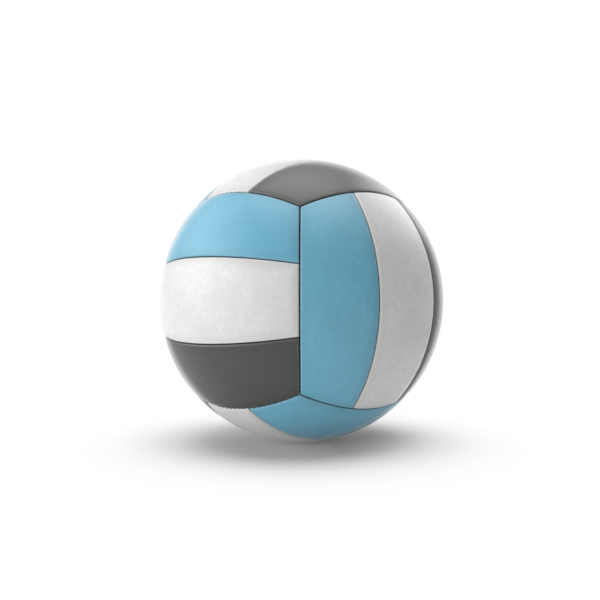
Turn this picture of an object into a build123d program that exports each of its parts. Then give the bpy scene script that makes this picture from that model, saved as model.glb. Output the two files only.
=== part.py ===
from build123d import *
from math import asin, atan, cos, degrees, sin, sqrt
import os

# A sewn indoor volleyball, in millimetres. The origin is the centre of the ball and +Z is up.
# The cover is six faces of three strips. Each strip is a tray of skin that holds a foam pad and
# a cloth lining. The trays are sewn hem to hem, and a bladder with a valve fills the inside.

# Ball
ball_diameter = 210.0

# Strips, measured along the surface
middle_strip_width = 58.6
middle_strip_end_width = 46.2

# Cover
skin_thickness = 1.1
skin_edge_radius = 1.2
foam_thickness = 2.0
lining_thickness = 0.6
glue_film = 0.15

# Seams
thread_diameter = 0.6
thread_clearance = 0.15
thread_depth = 2.0
thread_end_clearance = 1.5

# Bladder
bladder_thickness = 0.8
bladder_clearance = 0.3

# Valve
needle_radius = 1.0
needle_depth = 9.0
needle_mouth_flare = 0.7
needle_mouth_depth = 0.6
plug_wall = 1.4
plug_head_lip = 0.8
plug_stem_overhang = 1.5
plug_tip_chamfer = 0.6
plug_running_clearance = 0.03
sleeve_wall = 2.5
sleeve_length = 16.0
flange_width = 8.0
flange_thickness = 1.2
hole_clearance = 0.3

# Cutting tools run this far past what they cut
overrun = 1.0

# Radii of the layers, from the outside in
ball_radius = ball_diameter / 2
skin_inner = ball_radius - skin_thickness
foam_outer = skin_inner - glue_film
foam_inner = foam_outer - foam_thickness
lining_outer = foam_inner - glue_film
lining_inner = lining_outer - lining_thickness
bladder_outer = lining_inner - bladder_clearance
bladder_inner = bladder_outer - bladder_thickness
thread_circle = ball_radius - thread_depth

# Insets of the layers from the middle of a seam
skin_inset = thread_diameter / 2 + thread_clearance
hem_inset = skin_inset + skin_thickness
filling_inset = hem_inset + glue_film
skin_corner_radius = skin_edge_radius + skin_inset

# Valve sizes that follow from the fits, and places along the valve's axis
plug_stem_radius = needle_radius + plug_wall
plug_head_radius = plug_stem_radius + plug_head_lip
sleeve_bore_radius = plug_stem_radius + plug_running_clearance
sleeve_radius = sleeve_bore_radius + sleeve_wall
flange_radius = sleeve_radius + flange_width
flange_outer = bladder_inner - glue_film
flange_inner = flange_outer - flange_thickness
head_hole_radius = plug_head_radius + hole_clearance
sleeve_hole_radius = sleeve_radius + hole_clearance
sleeve_top = foam_outer - glue_film
sleeve_bottom = sleeve_top - sleeve_length
plug_tip = sleeve_bottom - plug_stem_overhang

# Every face is drawn with its middle on +X, its strips side by side along Y and running along Z.
# A face is turned to its place by the direction of its middle and the way that its strips run.
# Its strips are named from the -Y side to the +Y side.
FACES = {
    "right": ((1, 0, 0), (0, 0, 1), ("front", "middle", "rear")),
    "left": ((-1, 0, 0), (0, 0, 1), ("rear", "middle", "front")),
    "rear": ((0, 1, 0), (1, 0, 0), ("lower", "middle", "upper")),
    "front": ((0, -1, 0), (1, 0, 0), ("upper", "middle", "lower")),
    "top": ((0, 0, 1), (0, 1, 0), ("left", "middle", "right")),
    "bottom": ((0, 0, -1), (0, 1, 0), ("right", "middle", "left")),
}
STRIP_SIDES = (-1, 0, 1)
VALVE_FACE = "rear"
VALVE_SIDE = 0


def face_place(face):
    """Where a face that is drawn on +X goes."""
    middle, run, _ = FACES[face]
    return Plane(origin=(0, 0, 0), x_dir=middle, z_dir=run).location


# Seam planes face away from the middle of the face. Each one's origin is the centre of the circle
# that it cuts on the ball, and its x direction points at the middle of the seam.


def strip_seam(side):
    """The seam between the middle strip and the strip on one side of it.

    It passes through the middle strip's edge at the middle of the face and at the strip's two
    ends, which lie on the diagonals between X and Z.
    """
    at_middle = middle_strip_width / ball_diameter
    at_end = middle_strip_end_width / ball_diameter
    reach = cos(at_middle) - cos(at_end) / sqrt(2)
    rise = sin(at_middle) - sin(at_end)
    outward = Vector(-rise, side * reach).normalized()
    edge = Vector(cos(at_middle), side * sin(at_middle)) * ball_radius
    return Plane(origin=outward * outward.dot(edge), x_dir=(reach, side * rise), z_dir=outward)


def side_seam(side):
    """The seam along one long side of the face."""
    return Plane(origin=(0, 0, 0), x_dir=(1, side), z_dir=(-1, side))


def end_seam(side):
    """The seam across the strips' upper or lower ends."""
    return Plane(origin=(0, 0, 0), x_dir=(1, 0, side), z_dir=(-1, 0, side))


def strip_walls(side):
    """The four seam planes round a strip, all facing out of it."""
    walls = [end_seam(1), end_seam(-1)]
    if side == 0:
        return walls + [strip_seam(1), strip_seam(-1)]
    return walls + [side_seam(side), -strip_seam(side)]


def strip_layer(side, inner, outer, inset):
    """A layer of a strip between two radii, drawn in from the seams all round."""
    # Turned so that the ball's own seam line lies at -X
    layer = Rot(Z=180) * (Sphere(outer) - Sphere(inner))
    for wall in strip_walls(side):
        layer = split(layer, bisect_by=wall.offset(-inset), keep=Keep.BOTTOM)
    return layer


def skin_tray(side):
    """A strip's skin: its edges are rounded and turned in as a hem all round."""
    tray = strip_layer(side, lining_inner, ball_radius, skin_inset)
    tray = fillet(tray.edges().filter_by(GeomType.LINE), skin_corner_radius)
    face = tray.faces().filter_by(GeomType.SPHERE).sort_by(SortBy.AREA)[-1]
    tray = fillet(face.edges(), skin_edge_radius)
    return tray - strip_layer(side, lining_inner - overrun, skin_inner, hem_inset)


def foam_pad(side):
    return strip_layer(side, foam_inner, foam_outer, filling_inset)


def lining_cloth(side):
    return strip_layer(side, lining_inner, lining_outer, filling_inset)


def valve_rod(radius, start, end):
    """A round bar along the valve's axis, which is drawn on +X."""
    return Plane.YZ * Pos(0, 0, start) * extrude(Circle(radius), end - start)


def valve_hole(radius):
    """A cutter for the valve's hole, from inside the bladder out past the skin."""
    return valve_rod(radius, flange_inner, ball_radius + overrun)


def bladder_shell():
    return Sphere(bladder_outer) - Sphere(bladder_inner) - valve_hole(sleeve_hole_radius)


def valve_sleeve():
    """The rubber sleeve, with the flange that is bonded to the inside of the bladder."""
    cap = Rot(Z=180) * (Sphere(flange_outer) - Sphere(flange_inner))
    flange = cap & valve_rod(flange_radius, sleeve_bottom, sleeve_top)
    sleeve = flange + valve_rod(sleeve_radius, sleeve_bottom, sleeve_top)
    return sleeve - valve_rod(sleeve_bore_radius, sleeve_bottom - overrun, sleeve_top + overrun)


def valve_plug():
    """The rubber plug: a stem in the sleeve, and a head that ends flush with the skin."""
    head = valve_rod(plug_head_radius, sleeve_top, ball_radius) & Rot(Z=180) * Sphere(ball_radius)
    stem = valve_rod(plug_stem_radius, plug_tip, sleeve_top)
    stem = chamfer(stem.edges().sort_by(Axis.X)[0], plug_tip_chamfer)
    bore = valve_rod(needle_radius, ball_radius - needle_depth, ball_radius + overrun)
    mouth_start = ball_radius - needle_mouth_depth
    mouth = Cone(needle_radius, needle_radius + needle_mouth_flare, needle_mouth_depth)
    mouth = Plane.YZ * Pos(0, 0, mouth_start + needle_mouth_depth / 2) * mouth
    return head + stem - bore - mouth


def seam_thread(seam, half_angle):
    """The thread that lies between the hems along one seam."""
    reach = sqrt(thread_circle**2 - seam.origin.length**2)
    section = Plane.XZ * Pos(reach, 0) * Circle(thread_diameter / 2)
    arc = revolve(section, Axis.Z, revolution_arc=2 * half_angle)
    return seam.location * Rot(Z=-half_angle) * arc


def end_threads():
    """The threads across both ends of a face, which run from corner to corner."""
    corner = atan(1 / sqrt(2))
    half_angle = degrees(corner - thread_end_clearance / thread_circle)
    return [seam_thread(end_seam(side), half_angle) for side in (1, -1)]


def strip_threads():
    """The threads on both sides of the middle strip, which run from one end of it to the other."""
    seam = strip_seam(1)
    reach = sqrt(thread_circle**2 - seam.origin.length**2)
    lean = seam.x_dir.X
    at_end = asin(seam.origin.X / reach / sqrt(1 + lean**2)) + atan(lean)
    half_angle = degrees(at_end - thread_end_clearance / reach)
    return [seam_thread(strip_seam(side), half_angle) for side in (1, -1)]


def on_every_face(solids):
    """Copies of a face's solids on all the faces, as one group."""
    return Compound([face_place(face) * solid for face in FACES for solid in solids])


def main():
    os.makedirs("parts", exist_ok=True)
    valve_place = face_place(VALVE_FACE)
    layers = {
        "panel": (skin_tray, head_hole_radius),
        "foam": (foam_pad, sleeve_hole_radius),
        "lining": (lining_cloth, sleeve_hole_radius),
    }
    nodes = {}
    for layer, (make, hole_radius) in layers.items():
        strips = {side: make(side) for side in STRIP_SIDES}
        for face, (_, _, names) in FACES.items():
            for side, name in zip(STRIP_SIDES, names):
                strip = strips[side]
                if face == VALVE_FACE and side == VALVE_SIDE:
                    strip = strip - valve_hole(hole_radius)
                nodes[f"{layer}_{face}_{name}"] = face_place(face) * strip
    nodes["edge_thread"] = on_every_face(end_threads())
    nodes["strip_thread"] = on_every_face(strip_threads())
    nodes["bladder"] = valve_place * bladder_shell()
    nodes["valve_sleeve"] = valve_place * valve_sleeve()
    nodes["valve_plug"] = valve_place * valve_plug()
    for name, solid in nodes.items():
        export_step(solid, f"parts/{name}.step")


main()
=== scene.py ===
import math

import bpy
import numpy as np
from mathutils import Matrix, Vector


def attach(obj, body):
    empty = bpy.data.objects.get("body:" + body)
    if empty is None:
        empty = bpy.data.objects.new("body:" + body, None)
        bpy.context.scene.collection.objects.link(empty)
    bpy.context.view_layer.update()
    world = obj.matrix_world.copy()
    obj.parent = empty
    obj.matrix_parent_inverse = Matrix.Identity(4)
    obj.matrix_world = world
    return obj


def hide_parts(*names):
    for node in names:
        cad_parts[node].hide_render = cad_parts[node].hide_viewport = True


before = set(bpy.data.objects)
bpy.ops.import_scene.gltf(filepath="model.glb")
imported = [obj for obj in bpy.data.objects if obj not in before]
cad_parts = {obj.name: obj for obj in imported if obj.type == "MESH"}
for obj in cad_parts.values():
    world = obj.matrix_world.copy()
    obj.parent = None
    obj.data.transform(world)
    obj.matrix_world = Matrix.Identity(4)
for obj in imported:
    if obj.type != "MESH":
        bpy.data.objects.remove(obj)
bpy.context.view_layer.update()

# A sewn volleyball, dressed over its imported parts. Sizes are in metres where no name says otherwise,
# and the origin is the centre of the ball. A face is drawn with its middle on +X, its strips side by
# side along Y and running along Z, and is then turned to its place.

# Ball and strips
ball_radius = 0.105
middle_strip_width = 0.0586
middle_strip_end_width = 0.0462
seam_gap = 0.0009
strip_seam_gap = 0.0007

# Skin
skin_thickness = 0.0011
skin_edge_radius = 0.0008
skin_corner_radius = 0.0006
pillow_depth = 0.0008
pillow_reach = 0.0027

# Layers under the skin
glue_film = 0.00015
foam_thickness = 0.002
foam_edge_radius = 0.0006
lining_thickness = 0.0006
lining_edge_radius = 0.00015
bladder_clearance = 0.0003
bladder_thickness = 0.0008
mould_line_height = 0.00018
mould_line_width = 0.0008

# Seam thread
thread_radius = 0.0003
thread_depth = 0.0016
thread_end_clearance = 0.0015
ply_share = 0.14
ply_length = 0.0016
stitch_pitch = 0.0042
stitch_radius = 0.00028
stitch_depth = 0.0012
strip_stitch_depth = 0.0016
stitch_reach = 0.0008
stitch_slant_share = 0.25
stitch_taper = 0.6

# Valve holes
valve_hole_radius = 0.0035
valve_hole_edge_radius = 0.0004
valve_dip = 0.00015
valve_dip_reach = 0.0012
sleeve_hole_radius = 0.00523

# Mesh density
SKIN_STEPS = (28, 44)
FILLING_STEPS = (16, 22)
HOLE_STEPS = 4
hole_blend_share = 0.6
BLADDER_STEPS = (64, 96)
TUBE_SIDES = 8
RUN_STEPS = 160
STITCH_STEPS = 6
sharp_angle = math.radians(50)

# Keeps divisions away from zero
tiny = 1e-9

# Radii of the layers, from the outside in
skin_inner = ball_radius - skin_thickness
foam_outer = skin_inner - glue_film
foam_inner = foam_outer - foam_thickness
lining_outer = foam_inner - glue_film
lining_inner = lining_outer - lining_thickness
bladder_outer = lining_inner - bladder_clearance
bladder_inner = bladder_outer - bladder_thickness
skin_inset = seam_gap / 2
hem_inset = skin_inset + skin_thickness
filling_inset = hem_inset + glue_film

# Faces: the way that the middle faces, the way that the strips run, and the strips' names
FACES = {
    "right": ((1, 0, 0), (0, 0, 1), ("front", "middle", "rear")),
    "left": ((-1, 0, 0), (0, 0, 1), ("rear", "middle", "front")),
    "rear": ((0, 1, 0), (1, 0, 0), ("lower", "middle", "upper")),
    "front": ((0, -1, 0), (1, 0, 0), ("upper", "middle", "lower")),
    "top": ((0, 0, 1), (0, 1, 0), ("left", "middle", "right")),
    "bottom": ((0, 0, -1), (0, 1, 0), ("right", "middle", "left")),
}
STRIP_SIDES = (-1, 0, 1)
SKIN_SLOTS = {-1: "blue_skin", 0: "white_skin", 1: "grey_skin"}
VALVE_STRIP = ("rear", 0)

# Seams on a ball of radius 1

strip_middle_angle = middle_strip_width / ball_radius / 2
strip_end_angle = middle_strip_end_width / ball_radius / 2
seam_reach = math.cos(strip_middle_angle) - math.cos(strip_end_angle) / math.sqrt(2)
seam_rise = math.sin(strip_middle_angle) - math.sin(strip_end_angle)
seam_tilt = math.atan2(seam_rise, seam_reach)
seam_offset = math.sin(strip_middle_angle - seam_tilt)


def face_turn(face):
    """The turn that takes a face from +X to its place."""
    middle, run, _ = FACES[face]
    middle, run = np.array(middle, float), np.array(run, float)
    return np.column_stack([middle, np.cross(run, middle), run])


def strip_bounds(side, inset):
    """Tilt and offset of the planes on the low and high Y sides of a strip, drawn in by an inset."""
    strip_inset = (inset + strip_seam_gap / 2 - skin_inset) / ball_radius
    if side == 0:
        return (-seam_tilt, strip_inset - seam_offset), (seam_tilt, seam_offset - strip_inset)
    return (seam_tilt, seam_offset + strip_inset), (math.pi / 4, -inset / ball_radius)


def crossing_angles(plane):
    """Where a plane along the strips crosses the face, as angles at its middle and at its ends."""
    tilt, offset = plane
    lean = math.sin(tilt) / math.sqrt(2)
    size = math.hypot(math.cos(tilt), lean)
    return tilt + math.asin(offset), math.atan2(lean, math.cos(tilt)) + math.asin(offset / size)


def graded(steps):
    """Shares from 0 to 1 that lie closest together at both ends."""
    half = 0.5 * np.linspace(0, 1, steps + 1) ** 2
    return np.concatenate([half, 1 - half[-2::-1]])


def strip_grid(side, inset, steps):
    """A grid of points over a strip on a ball of radius 1: across it, then along it."""
    low, high = (np.array(crossing_angles(plane)) for plane in strip_bounds(side, inset))
    across, along = graded(steps[0]), 2 * graded(steps[1]) - 1
    at_middle, at_end = (low + (high - low) * across[:, None]).T
    reach = np.cos(at_middle) - np.cos(at_end) / math.sqrt(2)
    rise = np.sin(at_middle) - np.sin(at_end)
    size = np.hypot(reach, rise)
    reach, rise = reach / size, rise / size
    offset = np.sin(at_middle) * reach - np.cos(at_middle) * rise
    radius = np.sqrt(1 - offset**2)
    end_gap = math.sqrt(2) * inset / ball_radius
    end = np.arcsin((-rise * offset - end_gap) / radius / np.hypot(1, reach)) + np.arctan(reach)
    turn = end[:, None] * along
    out = radius[:, None] * np.cos(turn)
    x = out * reach[:, None] - (rise * offset)[:, None]
    y = out * rise[:, None] + (reach * offset)[:, None]
    return np.stack([x, y, radius[:, None] * np.sin(turn)], axis=-1)


def strip_walls(side, inset):
    """The four planes round a strip as inward normals and offsets: two sides, then two ends."""
    walls = []
    for way, (tilt, offset) in zip((1, -1), strip_bounds(side, inset)):
        walls.append((way * np.array([-math.sin(tilt), math.cos(tilt), 0]), way * offset))
    for way in (1, -1):
        walls.append((np.array([1, 0, way]) / math.sqrt(2), inset / ball_radius))
    return walls


def wall_distance(points, walls):
    """How far each point lies from the nearest wall, in metres."""
    return np.min([points @ normal - offset for normal, offset in walls], axis=0) * ball_radius


def round_corners(points, walls, radius):
    """Moves the points near each corner so that the outline turns it on an arc."""
    radius = radius / ball_radius
    for side_normal, side_offset in walls[:2]:
        for end_normal, end_offset in walls[2:]:
            by_side = np.clip(1 - (points @ side_normal - side_offset) / radius, 0, 1)
            by_end = np.clip(1 - (points @ end_normal - end_offset) / radius, 0, 1)
            size = np.maximum(np.hypot(by_side, by_end), tiny)
            pull = 1 - np.maximum(by_side, by_end) / size
            pull = np.where((by_side > 0) & (by_end > 0), pull, 0) * radius
            skew = side_normal @ end_normal
            from_side = pull * (by_side - skew * by_end) / (1 - skew**2)
            from_end = pull * (by_end - skew * by_side) / (1 - skew**2)
            points = points + from_side[..., None] * side_normal + from_end[..., None] * end_normal
    return points / np.linalg.norm(points, axis=-1, keepdims=True)


def draw_in_hole(points, radius):
    """Draws the grid's middle block in to a circle round +X, and blends that out before the edge."""
    middle = np.array(points.shape[:2]) // 2
    rows, columns = np.indices(points.shape[:2])
    ring = np.maximum(abs(rows - middle[0]), abs(columns - middle[1]))
    last_ring = int(hole_blend_share * min(middle))
    blend = np.clip((ring - HOLE_STEPS) / (last_ring - HOLE_STEPS), 0, 1)[..., None] ** 2
    flat = points[..., 1:]
    size = np.maximum(np.linalg.norm(flat, axis=-1, keepdims=True), tiny)
    flat = blend * flat + (1 - blend) * flat / size * radius / ball_radius
    x = np.sqrt(1 - (flat**2).sum(axis=-1, keepdims=True))
    return np.concatenate([x, flat], axis=-1)


def grid_faces(shape, start, hole):
    """Quads over a grid, less the block in its middle where there is a hole."""
    index = start + np.arange(shape[0] * shape[1]).reshape(shape)
    quads = np.stack([index[:-1, :-1], index[1:, :-1], index[1:, 1:], index[:-1, 1:]], axis=-1)
    keep = np.ones(quads.shape[:2], bool)
    if hole:
        row, column = shape[0] // 2, shape[1] // 2
        keep[row - HOLE_STEPS:row + HOLE_STEPS, column - HOLE_STEPS:column + HOLE_STEPS] = False
    return quads[keep]


def block_loop(low, high):
    """Grid places round a block, in order, as rows and columns."""
    (r0, c0), (r1, c1) = low, high
    loop = [(r, c0) for r in range(r0, r1)] + [(r1, c) for c in range(c0, c1)]
    return loop + [(r, c1) for r in range(r1, r0, -1)] + [(r0, c) for c in range(c1, c0, -1)]


def bridge(shape, low, high):
    """Quads between the same loop on an outer grid and on the inner grid that follows it."""
    loop = np.array([r * shape[1] + c for r, c in block_loop(low, high)])
    after, step = np.roll(loop, -1), shape[0] * shape[1]
    return np.stack([after, loop, loop + step, after + step], axis=-1)


def closed_strip(outer, inner, distances, hole):
    """Points, quads and edge distances of a closed piece from its outer and inner grids."""
    shape = outer.shape[:2]
    last = (shape[0] - 1, shape[1] - 1)
    quads = [grid_faces(shape, 0, hole), grid_faces(shape, shape[0] * shape[1], hole)[:, ::-1]]
    quads.append(bridge(shape, (0, 0), last))
    if hole:
        row, column = shape[0] // 2, shape[1] // 2
        low, high = (row - HOLE_STEPS, column - HOLE_STEPS), (row + HOLE_STEPS, column + HOLE_STEPS)
        quads.append(bridge(shape, low, high)[:, ::-1])
    quads = np.concatenate(quads)
    used, places = np.unique(quads, return_inverse=True)
    points = np.concatenate([outer.reshape(-1, 3), inner.reshape(-1, 3)])
    distance = np.concatenate([each.ravel() for each in distances])
    return points[used], places.reshape(quads.shape), distance[used]


def rim(grid):
    """True on the outermost points of a grid."""
    edge = np.zeros(grid.shape[:2], bool)
    edge[[0, -1], :] = True
    edge[:, [0, -1]] = True
    return edge


def folded_edge(distance, radius):
    """How far a rounded edge has dropped at a distance from its wall."""
    return radius * (1 - np.sqrt(1 - np.clip(1 - distance / radius, 0, 1) ** 2))


def layer_grid(side, inset, corner_radius, steps, hole_radius):
    """A layer's grid on the ball of radius 1, and each point's distance from the layer's edge."""
    grid = strip_grid(side, inset, steps)
    if hole_radius:
        grid = draw_in_hole(grid, hole_radius)
    walls = strip_walls(side, inset)
    return round_corners(grid, walls, corner_radius), wall_distance(grid, walls)


def hole_distance(grid, hole_radius):
    """How far each point of a grid on the ball of radius 1 lies from a hole's edge, in metres."""
    return np.maximum(np.linalg.norm(grid[..., 1:], axis=-1) * ball_radius - hole_radius, 0)


def pillow(distance, inset):
    """How far a layer sinks near the seams, at a distance from an edge that has its own inset."""
    return pillow_depth * np.exp(-(distance + inset - skin_inset) / pillow_reach)


def dip(from_hole):
    """How far the skin sinks toward the valve's hole."""
    return valve_dip * np.exp(-from_hole / valve_dip_reach)


def skin_shape(side, hole_radius):
    """A strip's skin: pillowed, folded over at the edges and turned in as a hem."""
    outer, distance = layer_grid(side, skin_inset, skin_corner_radius, SKIN_STEPS, hole_radius)
    height = ball_radius - folded_edge(distance, skin_edge_radius) - pillow(distance, skin_inset)
    inner, inner_distance = layer_grid(side, hem_inset, skin_corner_radius, SKIN_STEPS, hole_radius)
    inner_height = skin_inner - pillow(inner_distance, hem_inset)
    if hole_radius:
        from_hole = hole_distance(outer, hole_radius)
        height -= folded_edge(from_hole, valve_hole_edge_radius) + dip(from_hole)
        inner_height -= dip(hole_distance(inner, hole_radius))
        distance = np.minimum(distance, from_hole)
    height[rim(outer)] = lining_inner
    inner_height[rim(inner)] = lining_inner
    outer, inner = outer * height[..., None], inner * inner_height[..., None]
    return closed_strip(outer, inner, (distance, inner_distance), hole_radius)


def slab_shape(side, outer_radius, inner_radius, edge_radius, hole_radius, pressed):
    """A foam pad or a lining: a slab with rounded edges, inside the hem. The skin presses a pad down."""
    grid, distance = layer_grid(side, filling_inset, edge_radius, FILLING_STEPS, hole_radius)
    drop = folded_edge(distance, edge_radius)
    sunk = pressed * pillow(distance, filling_inset)
    outer = grid * (outer_radius - drop - sunk)[..., None]
    inner = grid * (inner_radius + drop)[..., None]
    return closed_strip(outer, inner, (distance, distance), hole_radius)


# Threads


def seam_circle(tilt, offset, across_ends):
    """Centre, way to the middle, way along and way across a seam's circle on the ball of radius 1."""
    toward = np.array([math.cos(tilt), math.sin(tilt), 0])
    across = np.array([-math.sin(tilt), math.cos(tilt), 0])
    along = np.array([0, 0, 1.0])
    if across_ends:
        swap = [0, 2, 1]
        toward, across, along = toward[swap], across[swap], -along[swap]
    return across * offset, toward, along, across


def face_seams():
    """The seams that a face brings: its two ends, then both sides of its middle strip."""
    end_half = math.atan(1 / math.sqrt(2))
    radius = math.sqrt(1 - seam_offset**2)
    lean = math.cos(seam_tilt)
    drop = math.sin(seam_tilt) * seam_offset / radius
    strip_half = math.asin(-drop / math.hypot(1, lean)) + math.atan(lean)
    ends = [(seam_circle(way * math.pi / 4, 0, True), end_half) for way in (1, -1)]
    strips = [(seam_circle(way * seam_tilt, way * seam_offset, False), strip_half) for way in (1, -1)]
    return ends, strips


def tube(centres, normals, binormals, radius):
    """Points and faces of a closed round tube. The radius may differ at each point of its skin."""
    angle = np.linspace(0, 2 * math.pi, TUBE_SIDES, endpoint=False)
    ring = normals[:, None] * np.cos(angle)[:, None] + binormals[:, None] * np.sin(angle)[:, None]
    points = (centres[:, None] + ring * radius[..., None]).reshape(-1, 3)
    index = np.arange(len(points)).reshape(-1, TUBE_SIDES)
    after = np.roll(index, -1, axis=1)
    quads = np.stack([index[:-1], after[:-1], after[1:], index[1:]], axis=-1).reshape(-1, 4)
    return points, quads.tolist() + [index[0, ::-1].tolist(), index[-1].tolist()]


def thread_run(circle, half_angle):
    """The thread that lies between two hems, twisted from two plies."""
    centre, toward, along, across = circle
    level = (ball_radius - thread_depth) / ball_radius
    radius = math.sqrt(level**2 - centre @ centre)
    turn = np.linspace(-1, 1, RUN_STEPS) * (half_angle - thread_end_clearance / ball_radius)
    out = np.cos(turn)[:, None] * toward + np.sin(turn)[:, None] * along
    path = (centre + radius * out) * ball_radius
    twist = turn * ball_radius / ply_length * 2 * math.pi
    angle = np.linspace(0, 2 * math.pi, TUBE_SIDES, endpoint=False)
    thick = thread_radius * (1 + ply_share * (np.cos(2 * angle - twist[:, None]) - 1))
    return tube(path, out, np.broadcast_to(across, out.shape), thick)


def stitch(place, out, along, across):
    """One stitch that crosses the groove on a slant, and dips into the skin at both ends."""
    step = np.linspace(-1, 1, STITCH_STEPS + 1)[:, None]
    path = place + step * stitch_reach * (across + stitch_slant_share * along)
    path = path - out * stitch_radius * step**2
    thick = stitch_radius * np.sqrt(1 - stitch_taper * step**2) * np.ones(TUBE_SIDES)
    rows = len(step)
    return tube(path, np.tile(along, (rows, 1)), np.tile(out, (rows, 1)), thick)


def seam_stitches(circle, half_angle, depth):
    """A row of stitches along one seam."""
    centre, toward, along, across = circle
    level = (ball_radius - depth) / ball_radius
    radius = math.sqrt(level**2 - centre @ centre)
    length = 2 * half_angle * radius * ball_radius
    count = round(length / stitch_pitch)
    made = []
    for turn in (np.arange(count) + 0.5) / count * 2 - 1:
        turn = turn * half_angle
        out = math.cos(turn) * toward + math.sin(turn) * along
        onward = math.cos(turn) * along - math.sin(turn) * toward
        made.append(stitch((centre + radius * out) * ball_radius, out, onward, across))
    return made


def joined(shapes):
    """Several shapes as one list of points and one of faces."""
    points, faces, start = [], [], 0
    for shape_points, shape_faces in shapes:
        points.append(shape_points)
        faces += [[start + i for i in face] for face in shape_faces]
        start += len(shape_points)
    return np.concatenate(points), faces


def stitching(seams, depth):
    """The threads and stitches of some of a face's seams, on all six faces."""
    shapes = []
    for circle, half_angle in seams:
        shapes.append(thread_run(circle, half_angle))
        shapes += seam_stitches(circle, half_angle, depth)
    points, faces = joined(shapes)
    return joined([(points @ face_turn(face).T, faces) for face in FACES])


def bladder_shape():
    """The bladder: a thin ball, open at the valve, with the raised line that its mould leaves."""
    start = math.asin(sleeve_hole_radius / bladder_outer)
    lean = np.linspace(start, math.pi, BLADDER_STEPS[0], endpoint=False)[:, None]
    turn = np.linspace(0, 2 * math.pi, BLADDER_STEPS[1], endpoint=False)
    way = [np.sin(lean) * np.cos(turn), np.cos(lean), np.sin(lean) * np.sin(turn)]
    way = np.stack(np.broadcast_arrays(*way), axis=-1)
    line = mould_line_height * np.exp(-((lean - math.pi / 2) * bladder_outer / mould_line_width) ** 2)
    outer, inner = way * (bladder_outer + line)[..., None], way * bladder_inner
    index = np.arange(way.shape[0] * way.shape[1]).reshape(BLADDER_STEPS)
    after, step = np.roll(index, -1, axis=1), index.size
    wall = np.stack([index[:-1], after[:-1], after[1:], index[1:]], axis=-1).reshape(-1, 4)
    mouth = np.stack([index[0], index[0] + step, after[0] + step, after[0]], axis=-1)
    quads = np.concatenate([wall, wall[:, ::-1] + step, mouth]).tolist()
    poles = [index[-1].tolist(), (index[-1, ::-1] + step).tolist()]
    return np.concatenate([outer.reshape(-1, 3), inner.reshape(-1, 3)]), quads + poles


# Pieces


def add_piece(name, points, faces, material):
    """A smooth mesh piece that rides on the ball."""
    mesh = bpy.data.meshes.new(name)
    mesh.from_pydata(points.tolist(), [], [list(face) for face in faces])
    mesh.validate()
    mesh.shade_smooth()
    mesh.set_sharp_from_angle(angle=sharp_angle)
    mesh.materials.append(material)
    piece = bpy.data.objects.new(name, mesh)
    bpy.context.scene.collection.objects.link(piece)
    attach(piece, "ball")
    return piece


mm_per_metre = 1000


def mark_edges(piece, distance):
    """Keeps each point's distance from the seam, in millimetres, for the material to read."""
    edge = piece.data.attributes.new("seam_distance", "FLOAT", "POINT")
    edge.data.foreach_set("value", np.asarray(distance, np.float32) * mm_per_metre)


# Materials

# Values that a ramp runs between: the whole span, most of it, or the middle alone
FULL_SPAN = (0, 1)
WIDE_SPAN = (0.3, 0.7)
SHARP_SPAN = (0.35, 0.65)
noise_roughness = 0.55

# Places of the colour sockets on a Mix node, whose other sockets share their names
MIX_COLOURS = (6, 7)
MIX_RESULT = 2


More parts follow.
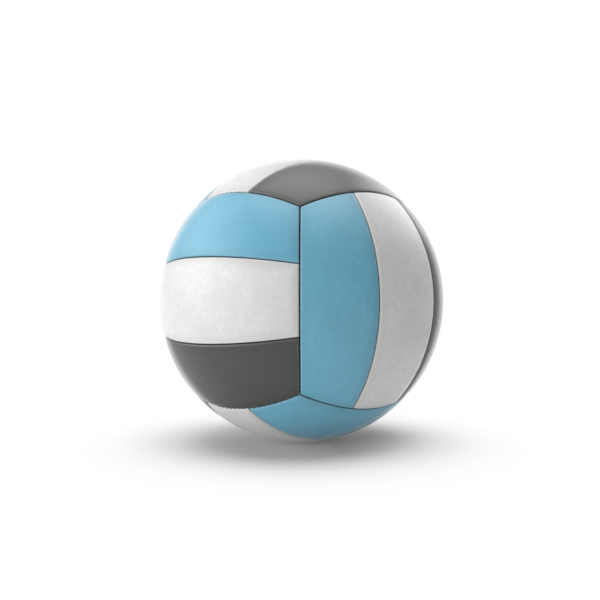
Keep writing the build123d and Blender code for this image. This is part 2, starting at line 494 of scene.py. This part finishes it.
class Shader:
    """A short way to lay out a material's nodes."""

    def __init__(self, name):
        self.material = bpy.data.materials.new(name)
        self.material.use_nodes = True
        self.tree = self.material.node_tree
        self.surface = self.tree.nodes["Principled BSDF"]

    def node(self, kind, sockets=None, **settings):
        """A new node, with its settings and what its sockets are given."""
        made = self.tree.nodes.new(kind)
        for name, value in settings.items():
            setattr(made, name, value)
        for name, value in (sockets or {}).items():
            self.feed(made.inputs[name], value)
        return made

    def feed(self, socket, value):
        """Gives a socket a link to another one, or a plain value."""
        if isinstance(value, bpy.types.NodeSocket):
            self.tree.links.new(value, socket)
        else:
            socket.default_value = value

    def set(self, **values):
        """Feeds the surface's sockets, named in small letters with underscores."""
        for name, value in values.items():
            self.feed(self.surface.inputs[name.replace("_", " ").title()], value)

    def place(self):
        """A point's place on the piece, in metres."""
        return self.node("ShaderNodeTexCoord").outputs["Object"]

    def noise(self, scale, detail):
        """Soft noise, from its repeats per metre and its detail."""
        sockets = {"Vector": self.place(), "Scale": scale, "Detail": detail, "Roughness": noise_roughness}
        return self.node("ShaderNodeTexNoise", sockets).outputs["Fac"]

    def cells(self, scale, feature="F1"):
        """Distances in a pattern of cells, with a scale in cells per metre."""
        sockets = {"Vector": self.place(), "Scale": scale}
        return self.node("ShaderNodeTexVoronoi", sockets, feature=feature).outputs["Distance"]

    def waves(self, scale, distortion, direction="X"):
        """Wavy bands across one direction."""
        sockets = {"Vector": self.place(), "Scale": scale, "Distortion": distortion}
        return self.node("ShaderNodeTexWave", sockets, bands_direction=direction).outputs["Fac"]

    def ramp(self, value, span, to_low=0.0, to_high=1.0):
        """Carries a span of values smoothly to another one."""
        sockets = {"Value": value, "From Min": span[0], "From Max": span[1]}
        sockets.update({"To Min": to_low, "To Max": to_high})
        made = self.node("ShaderNodeMapRange", sockets, interpolation_type="SMOOTHSTEP")
        return made.outputs["Result"]

    def maths(self, operation, a, b):
        """What one operation makes of two values."""
        made = self.node("ShaderNodeMath", operation=operation)
        self.feed(made.inputs[0], a)
        self.feed(made.inputs[1], b)
        return made.outputs["Value"]

    def blend(self, share, first, second):
        """Two colours mixed by the second one's share."""
        made = self.node("ShaderNodeMix", data_type="RGBA")
        self.feed(made.inputs["Factor"], share)
        for place, colour in zip(MIX_COLOURS, (first, second)):
            self.feed(made.inputs[place], colour)
        return made.outputs[MIX_RESULT]

    def bump(self, height, relief, below=None):
        """A normal bent by a height, whose relief is its depth in metres and its strength."""
        sockets = {"Height": height, "Distance": relief[0], "Strength": relief[1]}
        if below:
            sockets["Normal"] = below
        return self.node("ShaderNodeBump", sockets).outputs["Normal"]


def shade(colour, factor=1.0):
    """An opaque colour, made lighter or darker by a factor."""
    return tuple(min(1.0, c * factor) for c in colour) + (1.0,)


# Skin: its patterns, their tones and shares, their relief, the painted shade toward its seams, the wear
# and painted highlight on its folds, and its gloss
mottle_noise = (38, 5)
cloud_noise = (260, 3)
speck_noise = (900, 2)
grain_scale = 520
pore_noise = (1500, 2)
mottle_tones = (0.95, 1.08)
cloud_tone = 0.91
cloud_share = 0.6
speck_tone = 0.93
speck_share = 0.45
mottle_relief = (0.0004, 0.25)
cloud_relief = (0.00012, 0.3)
grain_relief = (0.00005, 0.6)
pore_relief = (0.00002, 0.5)
grain_bumps = (0.0, 0.35)
grain_lines = (0.0, 0.3)
grain_roughness = 0.06
skin_roughness = (0.32, 0.37)
seam_shade_mm = (0.5, 8.0)
seam_shade_tone = 0.82
seam_shade_share = 0.7
worn_and_highlight_mm = (0.25, 1.6)
worn_and_highlight_share = 0.12
worn_and_highlight_paleness = 0.5
coat_slant = (0.68, 0.86)
coat_roughness = 0.2
even_blend = 0.5


def skin_tone(s, colour, mottle, cloud):
    """The skin's colour: mottled and specked, with painted shade toward the seams, and paler on the folds
    from wear and a painted highlight.
    """
    specks = s.noise(*speck_noise)
    dark, light = (shade(colour, tone) for tone in mottle_tones)
    tone = s.blend(s.ramp(mottle, WIDE_SPAN), dark, light)
    tone = s.blend(s.ramp(cloud, SHARP_SPAN, 0, cloud_share), tone, shade(colour, cloud_tone))
    tone = s.blend(s.ramp(specks, SHARP_SPAN, 0, speck_share), tone, shade(colour, speck_tone))
    edge = s.node("ShaderNodeAttribute", attribute_name="seam_distance").outputs["Fac"]
    # Painted shade: the skin is darkened toward the seams
    tone = s.blend(s.ramp(edge, seam_shade_mm, seam_shade_share, 0), tone, shade(colour, seam_shade_tone))
    # Paler on the folds: partly wear, partly a painted highlight along the rounded edges
    pale = tuple((1 - worn_and_highlight_paleness) * c + worn_and_highlight_paleness for c in colour)
    return s.blend(s.ramp(edge, worn_and_highlight_mm, worn_and_highlight_share, 0), tone, shade(pale))


def skin_material(name, colour):
    """Coated synthetic leather with a fine grain, glossier where it is seen at a slant."""
    s = Shader(name)
    mottle = s.noise(*mottle_noise)
    cloud = s.noise(*cloud_noise)
    grain = s.cells(grain_scale, feature="DISTANCE_TO_EDGE")
    pores = s.noise(*pore_noise)
    smooth = s.ramp(mottle, WIDE_SPAN, *skin_roughness)
    rough = s.maths("ADD", smooth, s.ramp(grain, grain_lines, grain_roughness, 0))
    soft = s.bump(cloud, cloud_relief, s.bump(mottle, mottle_relief))
    fine = s.bump(s.ramp(grain, grain_bumps), grain_relief, soft)
    slant = s.node("ShaderNodeLayerWeight", {"Blend": even_blend}).outputs["Facing"]
    s.set(base_color=skin_tone(s, colour, mottle, cloud), roughness=rough)
    s.set(normal=s.bump(pores, pore_relief, fine))
    s.set(coat_weight=s.ramp(slant, coat_slant), coat_roughness=coat_roughness)
    return s.material


# Layers under the skin
FOAM_COLOUR = (0.84, 0.80, 0.70)
foam_cell_scale = 900
foam_cell_span = (0.1, 0.6)
foam_tones = (0.86, 1.05)
foam_roughness = (0.8, 0.95)
foam_relief = (0.0003, 0.6)
CLOTH_COLOUR = (0.72, 0.69, 0.62)
weave_scale = 320.0
weave_distortion = 0.4
weave_span = (0.0, 1.2)
cloth_tones = (0.78, 1.06)
cloth_roughness = (0.95, 0.8)
cloth_relief = (0.0003, 0.7)


def foam_material():
    """Closed-cell foam."""
    s = Shader("closed_cell_foam")
    cells = s.cells(foam_cell_scale)
    dark, light = (shade(FOAM_COLOUR, tone) for tone in foam_tones)
    s.set(base_color=s.blend(s.ramp(cells, foam_cell_span), dark, light))
    s.set(roughness=s.ramp(cells, FULL_SPAN, *foam_roughness), normal=s.bump(cells, foam_relief))
    return s.material


def cloth_material():
    """Plain woven lining."""
    s = Shader("woven_lining")
    x, y, z = (s.waves(weave_scale, weave_distortion, way) for way in "XYZ")
    weave = s.maths("ADD", s.maths("MULTIPLY", x, y), s.maths("MULTIPLY", y, z))
    dark, light = (shade(CLOTH_COLOUR, tone) for tone in cloth_tones)
    s.set(base_color=s.blend(s.ramp(weave, weave_span), dark, light))
    s.set(roughness=s.ramp(weave, FULL_SPAN, *cloth_roughness), normal=s.bump(weave, cloth_relief))
    return s.material


# Thread
# Near black: partly the thread's own colour, partly painted shade in the seam grooves
THREAD_AND_GROOVE_SHADE_COLOUR = (0.022, 0.027, 0.031)
fibre_scale = 900.0
fibre_distortion = 6.0
fibre_tones = (0.75, 1.1)
thread_roughness = (0.85, 0.7)
thread_specular = 0.25
thread_relief = (0.00006, 0.6)


def thread_material():
    """Polyester thread, near black partly in its own colour and partly as painted shade in the seam
    grooves, with the fine lay of its fibres.
    """
    s = Shader("seam_thread")
    fibres = s.waves(fibre_scale, fibre_distortion)
    dark, light = (shade(THREAD_AND_GROOVE_SHADE_COLOUR, tone) for tone in fibre_tones)
    s.set(base_color=s.blend(fibres, dark, light))
    s.set(roughness=s.ramp(fibres, FULL_SPAN, *thread_roughness), normal=s.bump(fibres, thread_relief))
    s.surface.inputs["Specular IOR Level"].default_value = thread_specular
    return s.material


# Rubber
TALC_COLOUR = (0.55, 0.55, 0.54)
talc_noise = (60, 6)
talc_span = (0.45, 0.75)
rubber_grain_noise = (2200, 2)
rubber_roughness = (0.45, 0.62)
rubber_relief = (0.00003, 0.5)


def rubber_material(name, colour, dust):
    """Moulded rubber with a little talc left in its surface."""
    s = Shader(name)
    cloud = s.noise(*talc_noise)
    grain = s.noise(*rubber_grain_noise)
    s.set(base_color=s.blend(s.ramp(cloud, talc_span, 0, dust), shade(colour), shade(TALC_COLOUR)))
    s.set(roughness=s.ramp(cloud, WIDE_SPAN, *rubber_roughness), normal=s.bump(grain, rubber_relief))
    return s.material


# Each layer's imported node, and its slot where that isn't the strip's own
LAYERS = {"skin": ("panel", None), "pad": ("foam", "foam"), "cloth": ("lining", "lining")}
SKIN_COLOURS = {
    -1: (0.157, 0.455, 0.622),
    0: (0.775, 0.775, 0.762),
    1: (0.060, 0.060, 0.060),
}
BLADDER_COLOUR = (0.045, 0.045, 0.048)
VALVE_COLOUR = (0.05, 0.05, 0.052)
bladder_dust = 0.35
valve_dust = 0.08


def strip_layers(side, has_valve):
    """The shapes of a strip's skin, pad and lining cloth."""
    head_hole = valve_hole_radius if has_valve else 0
    sleeve_hole = sleeve_hole_radius if has_valve else 0
    return {
        "skin": skin_shape(side, head_hole),
        "pad": slab_shape(side, foam_outer, foam_inner, foam_edge_radius, sleeve_hole, True),
        "cloth": slab_shape(side, lining_outer, lining_inner, lining_edge_radius, sleeve_hole, False),
    }


def add_strip(face, side, name, looks):
    """One strip of the cover: its skin, its pad and its lining cloth."""
    turn = face_turn(face)
    if side < 0:
        # The same strip as on the other side of the middle one, turned over about X
        turn = turn @ np.diag([1, -1, -1])
    shapes = strip_layers(abs(side), (face, side) == VALVE_STRIP)
    for layer, (points, quads, distance) in shapes.items():
        node, slot = LAYERS[layer]
        piece = add_piece(f"{layer}_{face}_{name}", points @ turn.T, quads, looks[layer])
        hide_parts(f"{node}_{face}_{name}")
        mark_edges(piece, distance)
        # The cover throws no colour on the floor, so that its shadow stays grey
        piece.visible_diffuse = False


def add_cover():
    """All eighteen strips."""
    skins = {side: skin_material(SKIN_SLOTS[side], colour) for side, colour in SKIN_COLOURS.items()}
    foam = foam_material()
    cloth = cloth_material()
    for face, (_, _, names) in FACES.items():
        for side, name in zip(STRIP_SIDES, names):
            add_strip(face, side, name, {"skin": skins[side], "pad": foam, "cloth": cloth})


def add_threads():
    """The threads and stitches along all the seams."""
    thread = thread_material()
    end_seams, strip_seams = face_seams()
    rows = {"edge": (end_seams, stitch_depth), "strip": (strip_seams, strip_stitch_depth)}
    for name, (seams, depth) in rows.items():
        piece = add_piece(f"{name}_stitching", *stitching(seams, depth), thread)
        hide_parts(f"{name}_thread")


def add_bladder():
    """The rubber bladder inside the cover."""
    rubber = rubber_material("bladder_rubber", BLADDER_COLOUR, bladder_dust)
    piece = add_piece("bladder_ball", *bladder_shape(), rubber)
    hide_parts("bladder")


def dress_valve():
    """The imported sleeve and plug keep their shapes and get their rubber."""
    rubber = rubber_material("valve_rubber", VALVE_COLOUR, valve_dust)
    for node in ("valve_sleeve", "valve_plug"):
        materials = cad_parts[node].data.materials
        materials.clear()
        materials.append(rubber)


# Camera, floor and light

# The photograph's view, from how its seams lie: azimuth of the camera from the front, distance in
# ball radii, and in pixels the focal length and how far right and down the ball's centre lies
camera_azimuth = math.radians(45.67)
camera_distance_share = 5.232
camera_distance = camera_distance_share * ball_radius
image_pixels = 600
focal_pixels = 727.3
centre_right_pixels = 1.57
centre_down_pixels = 0.52
sensor_width_mm = 36

to_camera = Vector((math.sin(camera_azimuth), -math.cos(camera_azimuth), 0))
to_right = Vector((math.cos(camera_azimuth), math.sin(camera_azimuth), 0))
to_up = Vector((0, 0, 1))


def add_camera():
    """The camera, at the photograph's viewing angle."""
    data = bpy.data.cameras.new("camera")
    data.sensor_width = sensor_width_mm
    data.lens = focal_pixels / image_pixels * data.sensor_width
    data.shift_x = -centre_right_pixels / image_pixels
    data.shift_y = centre_down_pixels / image_pixels
    camera = bpy.data.objects.new("camera", data)
    camera.location = to_camera * camera_distance
    camera.rotation_euler = (-to_camera).to_track_quat("-Z", "Y").to_euler()
    bpy.context.scene.collection.objects.link(camera)
    bpy.context.scene.camera = camera


def add_area(name, way, distance, size, power, kind):
    """A soft light, round or oval, that shines at the ball from some way off."""
    data = bpy.data.lights.new(name, "AREA")
    data.shape = "ELLIPSE"
    data.size, data.size_y = size
    data.energy = power
    lamp = bpy.data.objects.new(name, data)
    way = way.normalized()
    lamp.location = way * distance
    lamp.rotation_euler = way.to_track_quat("Z", "Y").to_euler()
    lamp.visible_glossy = kind != "fill"
    lamp.visible_diffuse = kind != "sheen"
    bpy.context.scene.collection.objects.link(lamp)


def seen_directly(tree):
    """1 for what the camera sees, straight or in gloss or glass, and 0 for other light."""
    path = tree.nodes.new("ShaderNodeLightPath")
    total = path.outputs["Is Camera Ray"]
    for name in ("Is Glossy Ray", "Is Transmission Ray"):
        either = tree.nodes.new("ShaderNodeMath")
        either.operation = "MAXIMUM"
        tree.links.new(total, either.inputs[0])
        tree.links.new(path.outputs[name], either.inputs[1])
        total = either.outputs["Value"]
    return total


def add_world():
    """A surround that is white to look at, straight or in gloss, and gives no other light."""
    world = bpy.data.worlds.new("studio")
    bpy.context.scene.world = world
    world.use_nodes = True
    tree = world.node_tree
    background = tree.nodes["Background"]
    background.inputs["Color"].default_value = (1, 1, 1, 1)
    tree.links.new(seen_directly(tree), background.inputs["Strength"])


# Floor: its reach, where it fades to white, and its tones and glow as seen and as other light finds it
floor_half = 3.0
floor_fade = (0.05, 0.18)
floor_tone = 0.95
floor_seen_tone = 1.1
floor_seen_glow = 0.11
floor_glow = 0.13
floor_roughness = 0.9
FLOOR_CORNERS = ((-1, -1), (1, -1), (1, 1), (-1, 1))


def floor_reach(s):
    """How far a point of the floor lies from the ball's axis."""
    flat = s.node("ShaderNodeVectorMath", operation="MULTIPLY")
    s.feed(flat.inputs[0], s.place())
    s.feed(flat.inputs[1], (1, 1, 0))
    reach = s.node("ShaderNodeVectorMath", operation="LENGTH")
    s.feed(reach.inputs[0], flat.outputs["Vector"])
    return reach.outputs["Value"]


def floor_material():
    """A pale matt floor with a weak glow, which keeps the shadow and fades into the white surround."""
    s = Shader("floor")
    seen = seen_directly(s.tree)
    s.set(base_color=s.ramp(seen, FULL_SPAN, floor_tone, floor_seen_tone), roughness=floor_roughness)
    s.surface.inputs["Specular IOR Level"].default_value = 0.0
    # Painted light: the floor glows weakly on the ball, and as seen its glow lightens the shadow
    glow = s.node("ShaderNodeEmission", {"Strength": s.ramp(seen, FULL_SPAN, floor_glow, floor_seen_glow)})
    lit = s.node("ShaderNodeAddShader", {0: s.surface.outputs[0], 1: glow.outputs[0]})
    white = s.node("ShaderNodeEmission", {"Strength": 1.0})
    far = s.maths("MULTIPLY", s.ramp(floor_reach(s), floor_fade), seen)
    fade = s.node("ShaderNodeMixShader", {0: far, 1: lit.outputs[0], 2: white.outputs[0]})
    # The camera sees through the floor from below
    clear = s.node("ShaderNodeBsdfTransparent").outputs[0]
    below = s.maths("MULTIPLY", s.node("ShaderNodeNewGeometry").outputs["Backfacing"], seen)
    surface = s.node("ShaderNodeMixShader", {0: below, 1: fade.outputs[0], 2: clear})
    s.feed(s.tree.nodes["Material Output"].inputs["Surface"], surface.outputs[0])
    return s.material


def add_floor():
    """The floor that the ball stands on."""
    corners = [(x * floor_half, y * floor_half, -ball_radius) for x, y in FLOOR_CORNERS]
    mesh = bpy.data.meshes.new("floor")
    mesh.from_pydata(corners, [], [(0, 1, 2, 3)])
    mesh.materials.append(floor_material())
    floor = bpy.data.objects.new("floor", mesh)
    bpy.context.scene.collection.objects.link(floor)


# Lamps: azimuth right of the camera and elevation in degrees, width, height, power in watts and kind.
# A fill lights colour alone, a sheen lights gloss alone, and a box lights both.
lamp_distance = 1.5
LAMPS = {
    "top_light": (0, 88, 1.5, 1.5, 13.4, "box"),
    "right_light": (60, 62, 0.9, 0.9, 2.4, "box"),
    "left_light": (-72, 13, 1.8, 1.2, 9.5, "box"),
    "left_sheen": (-92, 32, 1.4, 1.4, 6.5, "sheen"),
    "right_sheen": (130, 38, 0.9, 0.9, 5.5, "sheen"),
    "front_light": (-44, 8, 0.9, 0.4, 6.3, "fill"),
    "left_back_light": (-135, 45, 0.9, 0.9, 2.3, "fill"),
    "right_back_light": (120, 45, 0.9, 0.9, 2.2, "fill"),
    "rim_light": (150, 20, 0.9, 0.6, 2.5, "fill"),
}


def add_studio():
    """The camera, the floor, the white surround and the lamps."""
    add_camera()
    add_floor()
    add_world()
    for name, (azimuth, elevation, width, height, power, kind) in LAMPS.items():
        turn, lift = math.radians(azimuth), math.radians(elevation)
        level = math.cos(turn) * to_camera + math.sin(turn) * to_right
        way = math.cos(lift) * level + math.sin(lift) * to_up
        add_area(name, way, lamp_distance, (width, height), power, kind)
    bpy.context.scene.view_settings.view_transform = "Standard"


add_cover()
add_threads()
add_bladder()
dress_valve()
add_studio()
